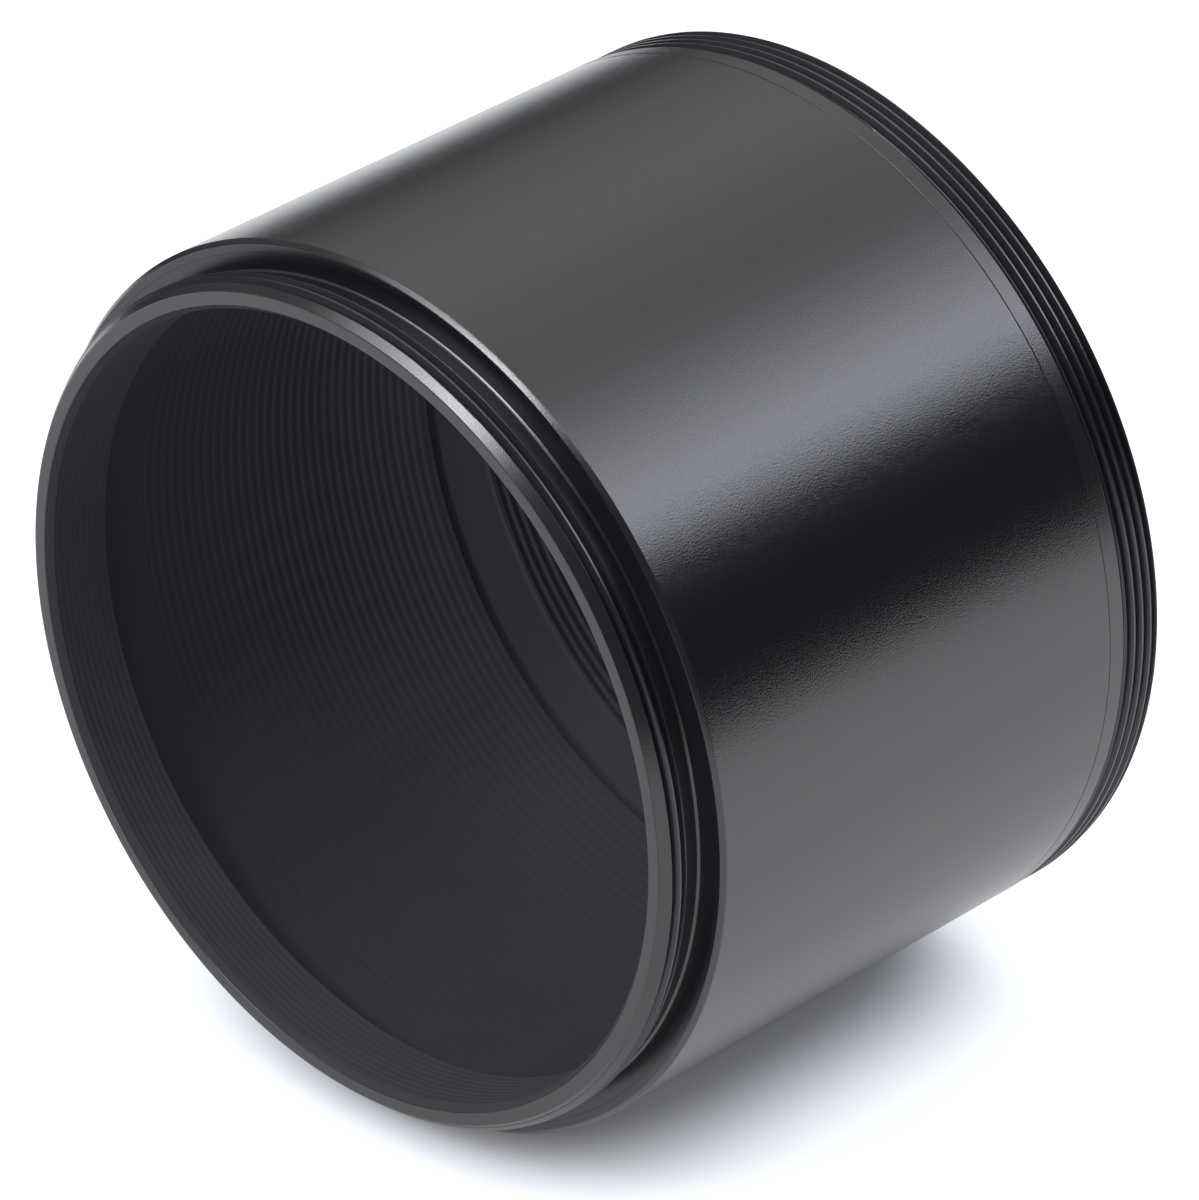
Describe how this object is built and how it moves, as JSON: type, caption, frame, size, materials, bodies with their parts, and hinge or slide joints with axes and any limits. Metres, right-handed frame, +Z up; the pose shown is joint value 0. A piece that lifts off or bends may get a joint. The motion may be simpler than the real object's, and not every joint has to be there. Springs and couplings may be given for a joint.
{
  "type": "telescope extension tube",
  "caption": "Straight black anodised telescope extension tube: ridged bore, narrower male-threaded nose in front, flush rear ring with a male thread outside and a female thread inside.",
  "frame": {"origin": "on the optical axis, half way along the tube", "axes": "+Y along the optical axis from the nose to the rear socket, +Z up with the tube lying on its side"},
  "size_m": [0.079, 0.0562, 0.079],
  "materials": {
    "barrel_anodise": "satin black anodised, fine blasted grain",
    "nose_anodise": "satin black anodised, turned",
    "rear_anodise": "satin black anodised, turned"
  },
  "bodies": {
    "root": {"barrel": "barrel_anodise", "nose_ring": "nose_anodise", "rear_ring": "rear_anodise"}
  },
  "joints": []
}
